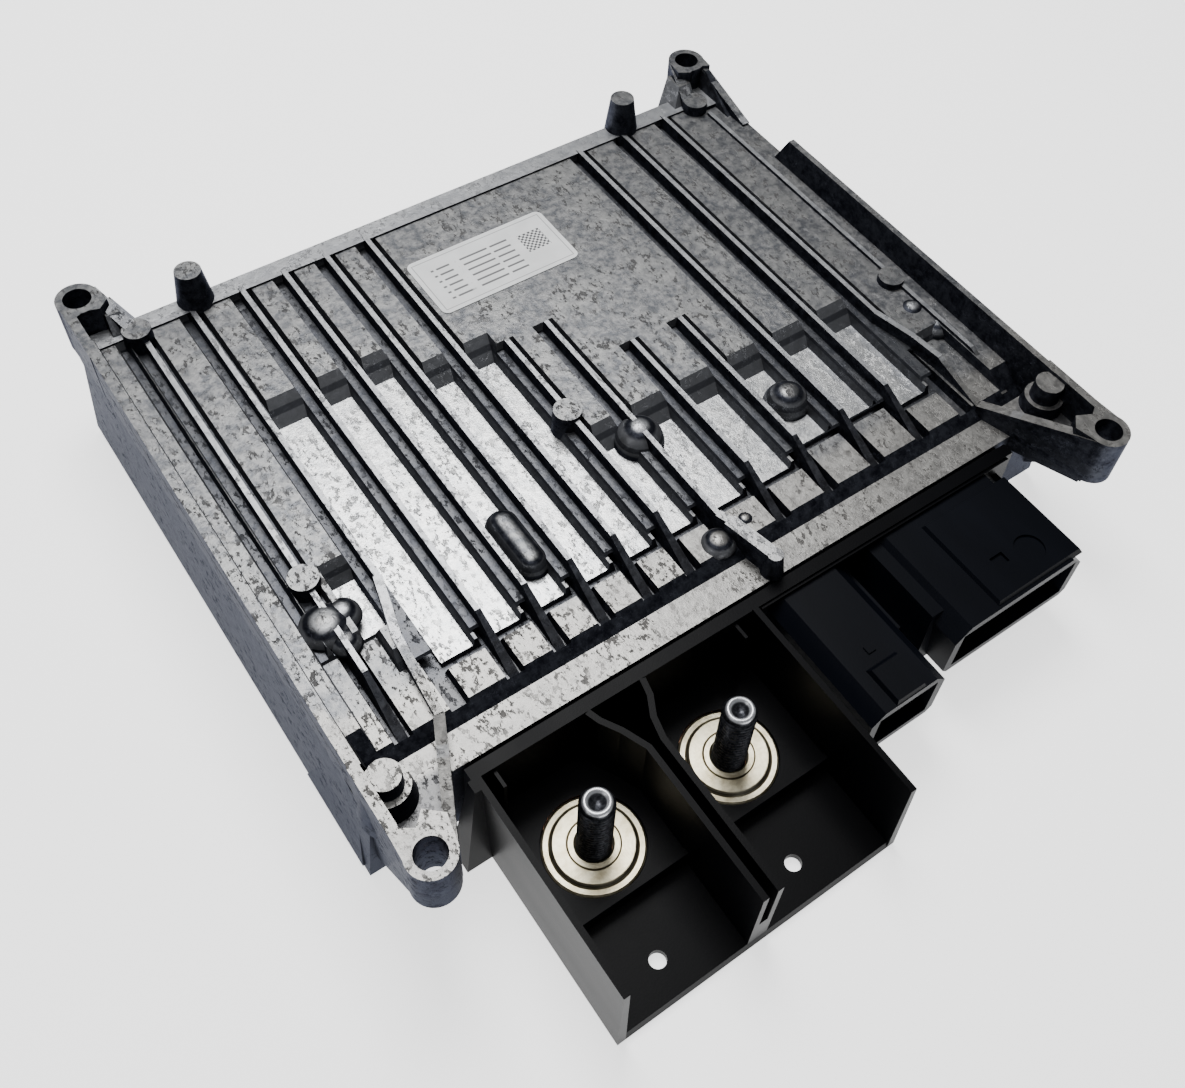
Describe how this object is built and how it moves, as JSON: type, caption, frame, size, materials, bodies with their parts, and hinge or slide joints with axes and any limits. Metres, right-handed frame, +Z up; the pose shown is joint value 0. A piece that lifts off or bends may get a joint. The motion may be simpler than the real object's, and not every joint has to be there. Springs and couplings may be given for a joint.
{
  "type": "DC/DC converter",
  "caption": "Finned die-cast voltage converter for a battery system, with mounting ears, open stud terminal bays and plug connectors along one edge.",
  "frame": {"origin": "on the resting face of the bottom cover, under the centre of the four mounting holes", "axes": "+Z up through the mounting holes towards the fins, +Y away from the connectors, +X to the right when the connectors face the viewer"},
  "size_m": [0.2056, 0.219, 0.0445],
  "materials": {
    "cast_aluminium": "as-cast satin",
    "cover_sheet": "rolled satin",
    "zinc_steel": "zinc plated",
    "stud_steel": "dark plated thread",
    "contact_nickel": "pale nickel plated",
    "copper": "bare copper",
    "black_plastic": "moulded satin",
    "seal_rubber": "matt",
    "board_green": "solder mask",
    "package_epoxy": "moulded matt",
    "thermal_silicone": "matt",
    "ferrite": "ground",
    "enamel_wire": "enamelled",
    "capacitor_can": "satin",
    "vent_grey": "moulded matt",
    "label_film": "printed film"
  },
  "bodies": {
    "root": {"cast_housing": "cast_aluminium", "bottom_cover": "cover_sheet", "cover_screws": "zinc_steel", "cover_seal": "seal_rubber", "vent_plug": "vent_grey", "circuit_board": "board_green", "board_screws": "zinc_steel", "power_transistors": "package_epoxy", "thermal_pads": "thermal_silicone", "inductor_cores": "ferrite", "inductor_windings": "enamel_wire", "filter_capacitors": "capacitor_can", "control_chip": "package_epoxy", "current_shunt": "copper", "positive_stud": "stud_steel", "positive_busbar": "copper", "ground_stud": "stud_steel", "ground_busbar": "copper", "contact_washers": "contact_nickel", "connector_header": "black_plastic", "header_seal": "seal_rubber", "terminal_shroud": "black_plastic", "signal_connector_shell": "black_plastic", "signal_pins": "contact_nickel", "power_connector_shell": "black_plastic", "power_blades": "contact_nickel", "header_screws": "zinc_steel", "data_label": "label_film"}
  },
  "joints": []
}
